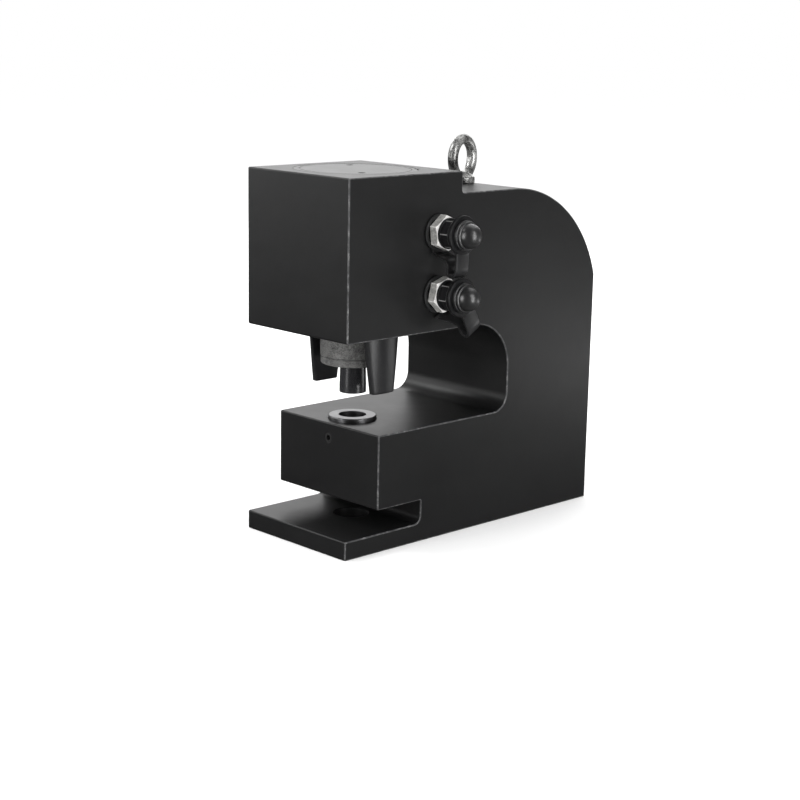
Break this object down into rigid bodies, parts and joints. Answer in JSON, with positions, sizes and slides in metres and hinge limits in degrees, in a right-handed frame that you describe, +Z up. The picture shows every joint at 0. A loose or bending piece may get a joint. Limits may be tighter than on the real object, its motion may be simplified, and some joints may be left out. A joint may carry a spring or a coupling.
{
  "type": "hydraulic busbar punching machine",
  "caption": "Heavy C-frame hydraulic hole punch head with a ram-driven punch, legged stripper, die arm, foot plate, lifting eye and capped oil couplers.",
  "frame": {"origin": "the punch axis where it meets the floor under the foot plate", "axes": "+Z up along the punch axis, +Y towards the back of the throat, +X towards the side with the oil couplers"},
  "size_m": [0.1486, 0.2651, 0.2953],
  "materials": {
    "frame_paint": "satin charcoal black paint",
    "cover_paint": "satin dark grey paint",
    "dark_steel": "blackened steel, semi-matt",
    "blasted_steel": "blasted grey steel, matt",
    "punch_steel": "oiled black tool steel",
    "tool_steel": "ground tool steel",
    "turned_steel": "turned steel",
    "hard_chrome": "ground hard chrome",
    "bronze": "turned bronze",
    "spring_steel": "drawn spring wire",
    "zinc_hex": "zinc plated steel",
    "black_hex": "black oxide steel",
    "black_screw": "black oxide steel",
    "forged_zinc": "forged steel, zinc plated",
    "cap_plastic": "fine-grained black plastic",
    "strap_rubber": "soft black rubber",
    "seal_rubber": "nitrile rubber",
    "seal_polyurethane": "polyurethane seal",
    "wear_ring": "filled resin wear ring"
  },
  "bodies": {
    "frame": {"c_frame": "frame_paint", "head_block": "frame_paint", "die_arm": "frame_paint", "foot_plate": "frame_paint", "end_cap": "cover_paint", "end_cap_seal": "seal_rubber", "end_cap_lock_screw": "black_screw", "stripper": "dark_steel", "guide_bush": "bronze", "rod_seal": "seal_polyurethane", "rod_wiper": "seal_rubber", "die": "tool_steel", "die_set_screw": "black_screw", "eye_bolt": "forged_zinc", "upper_adapter": "zinc_hex", "upper_coupler": "black_hex", "upper_spring_seat": "turned_steel", "upper_poppet_spring": "spring_steel", "upper_strap": "strap_rubber", "lower_adapter": "zinc_hex", "lower_coupler": "black_hex", "lower_spring_seat": "turned_steel", "lower_poppet_spring": "spring_steel", "lower_strap": "strap_rubber"},
    "ram": {"piston": "turned_steel", "piston_seal": "seal_polyurethane", "piston_wear_ring": "wear_ring", "piston_nut": "dark_steel", "ram_rod": "hard_chrome", "punch_nut": "blasted_steel", "punch": "punch_steel"},
    "upper_cap": {"upper_dust_cap": "cap_plastic", "upper_cap_ring": "strap_rubber"},
    "upper_check": {"upper_poppet": "turned_steel"},
    "lower_cap": {"lower_dust_cap": "cap_plastic", "lower_cap_ring": "strap_rubber"},
    "lower_check": {"lower_poppet": "turned_steel"}
  },
  "joints": [
    {"name": "ram_slide", "type": "slide", "parent": "frame", "child": "ram", "axis": [0, 0, -1], "range_m": [0, 0.024]},
    {"name": "upper_cap_slide", "type": "slide", "parent": "frame", "child": "upper_cap", "axis": [1, 0, 0], "range_m": [0, 0.016]},
    {"name": "upper_check_slide", "type": "slide", "parent": "frame", "child": "upper_check", "axis": [-1, 0, 0], "range_m": [0, 0.0035], "stiffness_N_per_m": 800, "springref_m": -0.002, "deforming": ["upper_poppet_spring"]},
    {"name": "lower_cap_slide", "type": "slide", "parent": "frame", "child": "lower_cap", "axis": [1, 0, 0], "range_m": [0, 0.016]},
    {"name": "lower_check_slide", "type": "slide", "parent": "frame", "child": "lower_check", "axis": [-1, 0, 0], "range_m": [0, 0.0035], "stiffness_N_per_m": 800, "springref_m": -0.002, "deforming": ["lower_poppet_spring"]}
  ]
}
